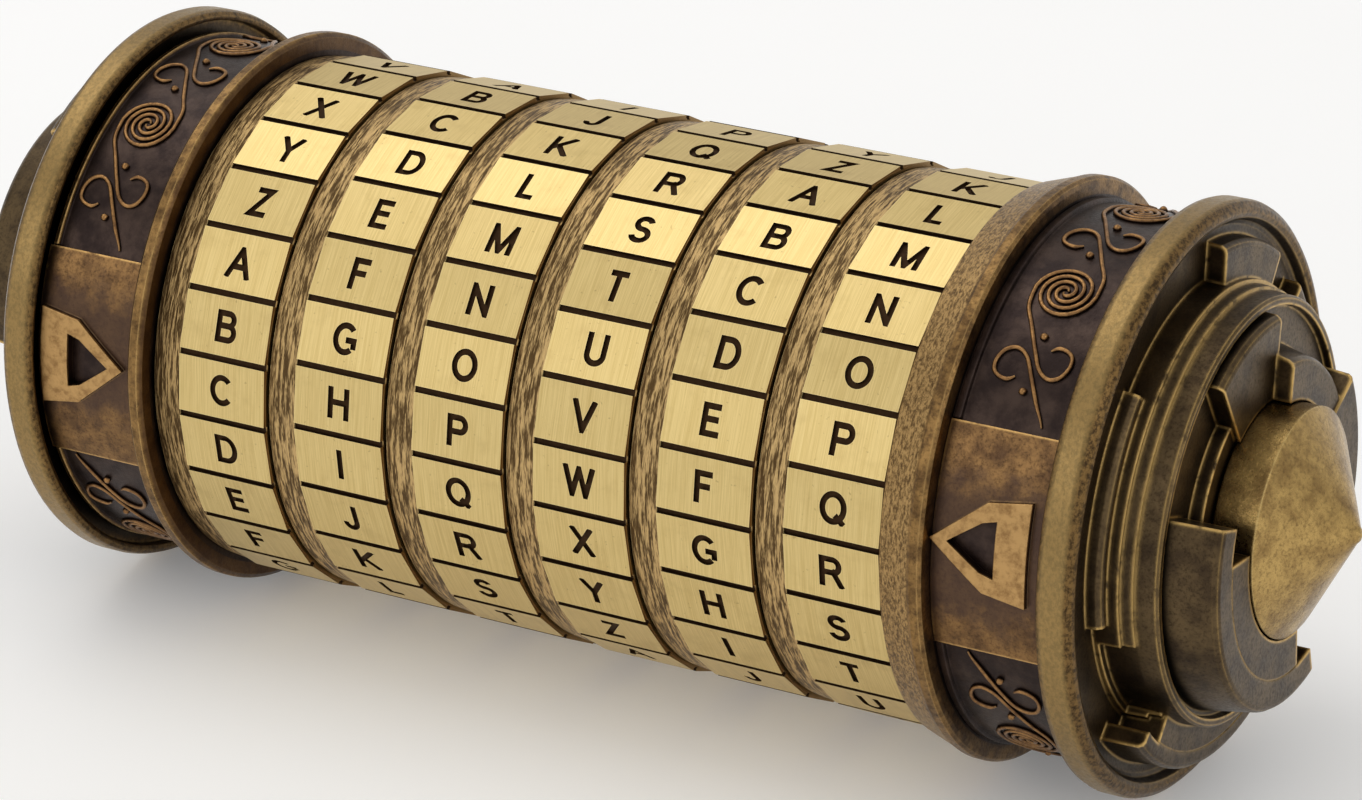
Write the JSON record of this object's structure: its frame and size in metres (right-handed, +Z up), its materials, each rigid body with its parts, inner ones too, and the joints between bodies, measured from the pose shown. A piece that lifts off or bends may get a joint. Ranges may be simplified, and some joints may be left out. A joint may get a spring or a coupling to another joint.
{
  "type": "cryptex letter lock cylinder",
  "caption": "Antique brass cryptex: lettered rings turn on a slotted sleeve and lock a sliding drawer tube inside, between stepped end caps with cone finials.",
  "frame": {"origin": "on the table under the middle of the cryptex's length, which lies on its two end rims", "axes": "X along the axle, the sealed end at +X and the drawer's end at -X, Z up, the index line towards -Y"},
  "size_m": [0.1312, 0.05, 0.0499],
  "materials": {
    "letter_band": "circumferentially brushed pale gold, with dark filled letters and dividers",
    "lock_ring": "machined, unpolished",
    "drum": "dark antiqued bronze with worn bright edges",
    "index_plate": "coppery brown antique finish",
    "cap": "antiqued bronze, dark in the recesses and gold on worn edges",
    "finial": "speckled antique gold",
    "sleeve": "drawn tube",
    "drawer_tube": "drawn tube, polished",
    "lock_rail": "machined strip"
  },
  "bodies": {
    "frame": {"core_sleeve": "sleeve", "left_drum": "drum", "right_drum": "drum", "left_index_plate": "index_plate", "right_index_plate": "index_plate", "right_cap": "cap", "right_finial": "finial"},
    "ring_1": {"letter_ring_1": "letter_band", "lock_ring_1": "lock_ring"},
    "ring_2": {"letter_ring_2": "letter_band", "lock_ring_2": "lock_ring"},
    "ring_3": {"letter_ring_3": "letter_band", "lock_ring_3": "lock_ring"},
    "ring_4": {"letter_ring_4": "letter_band", "lock_ring_4": "lock_ring"},
    "ring_5": {"letter_ring_5": "letter_band", "lock_ring_5": "lock_ring"},
    "ring_6": {"letter_ring_6": "letter_band", "lock_ring_6": "lock_ring"},
    "drawer": {"drawer_cap": "cap", "drawer_finial": "finial", "drawer_tube": "drawer_tube", "drawer_plug": "drawer_tube", "lock_rail": "lock_rail"}
  },
  "joints": [
    {"name": "ring_1_turn", "type": "hinge", "parent": "frame", "child": "ring_1", "pos_m": [0, 0, 0.02489], "axis": [1, 0, 0], "continuous": true},
    {"name": "ring_2_turn", "type": "hinge", "parent": "frame", "child": "ring_2", "pos_m": [0, 0, 0.02489], "axis": [1, 0, 0], "continuous": true},
    {"name": "ring_3_turn", "type": "hinge", "parent": "frame", "child": "ring_3", "pos_m": [0, 0, 0.02489], "axis": [1, 0, 0], "continuous": true},
    {"name": "ring_4_turn", "type": "hinge", "parent": "frame", "child": "ring_4", "pos_m": [0, 0, 0.02489], "axis": [1, 0, 0], "continuous": true},
    {"name": "ring_5_turn", "type": "hinge", "parent": "frame", "child": "ring_5", "pos_m": [0, 0, 0.02489], "axis": [1, 0, 0], "continuous": true},
    {"name": "ring_6_turn", "type": "hinge", "parent": "frame", "child": "ring_6", "pos_m": [0, 0, 0.02489], "axis": [1, 0, 0], "continuous": true},
    {"name": "drawer_slide", "type": "slide", "parent": "frame", "child": "drawer", "axis": [-1, 0, 0], "range_m": [0, 0.086]}
  ]
}
